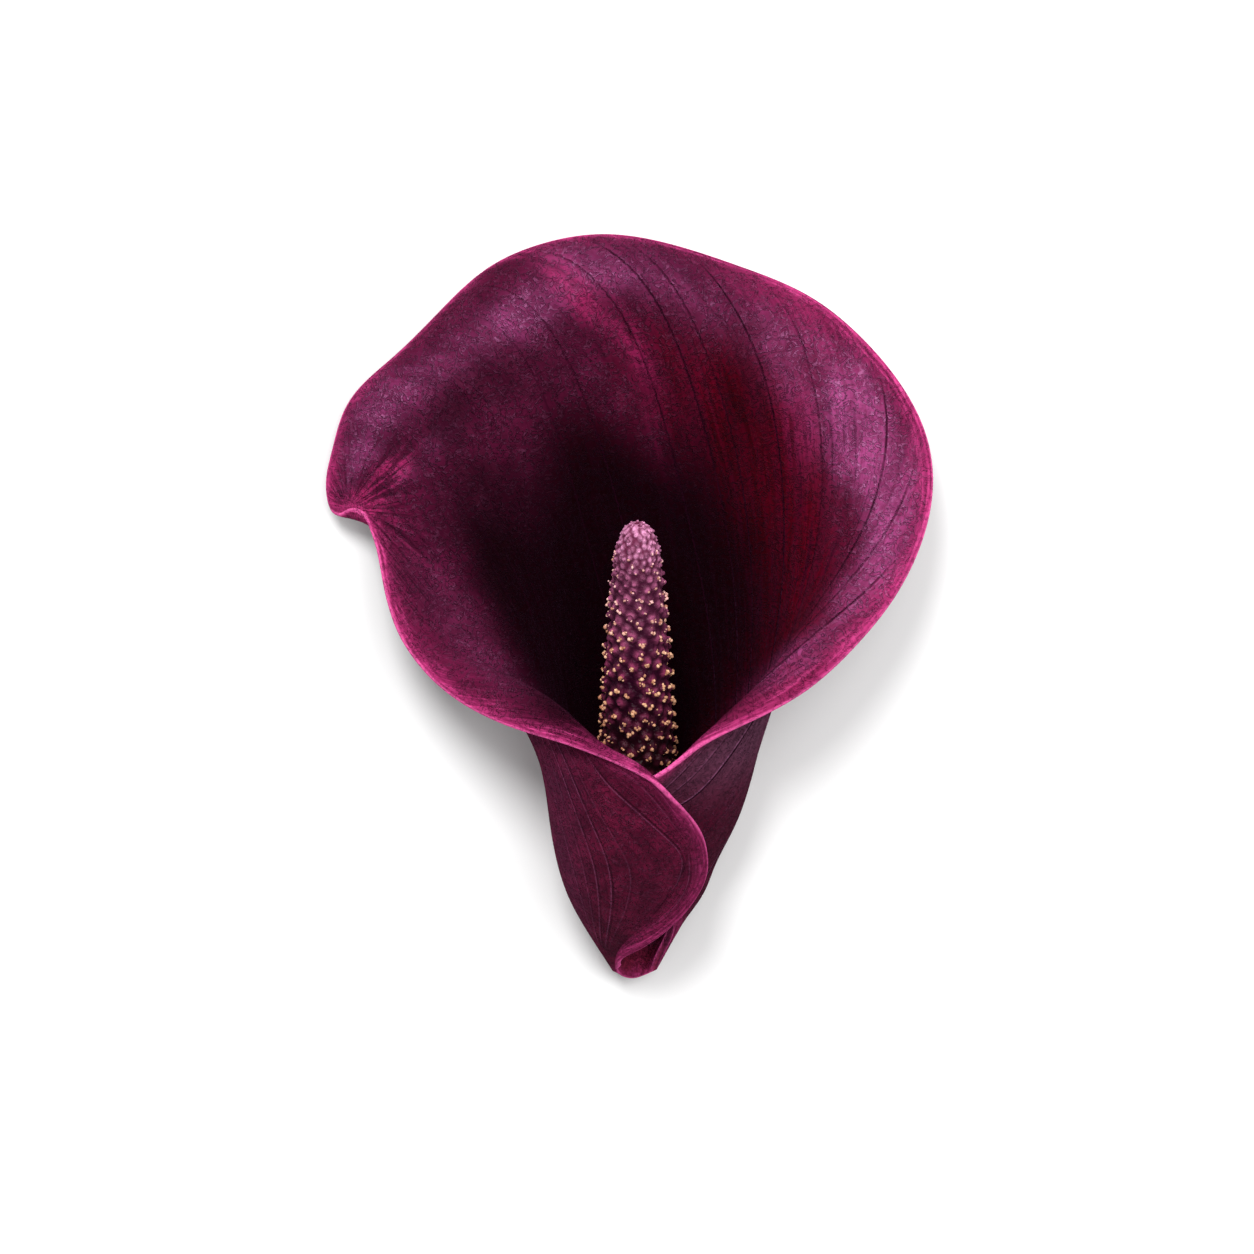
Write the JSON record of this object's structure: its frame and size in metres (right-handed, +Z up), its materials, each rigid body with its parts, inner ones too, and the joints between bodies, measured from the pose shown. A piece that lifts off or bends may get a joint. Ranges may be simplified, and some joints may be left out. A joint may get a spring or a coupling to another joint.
{
  "type": "arum lily flower",
  "caption": "Single flower with one flared funnel sheet rolled around a knobbly spike, cut from its stalk and lying on its back.",
  "frame": {"origin": "middle of the underside of the whole flower's box, on the surface it lies on", "axes": "+Z up, the open mouth looks up, the cut foot points to -Y, the pointed tip of the sheet is on -X"},
  "size_m": [0.0758, 0.0962, 0.0298],
  "materials": {
    "spathe": "dark plum petal with a soft satin sheen, fine dark veins and a bright magenta margin",
    "spadix": "matte, knobbly, lilac pink with golden pollen crumbs",
    "stalk_stub": "matte dark maroon cut stalk"
  },
  "bodies": {
    "root": {"spathe": "spathe", "spadix": "spadix", "stalk_stub": "stalk_stub"}
  },
  "joints": []
}
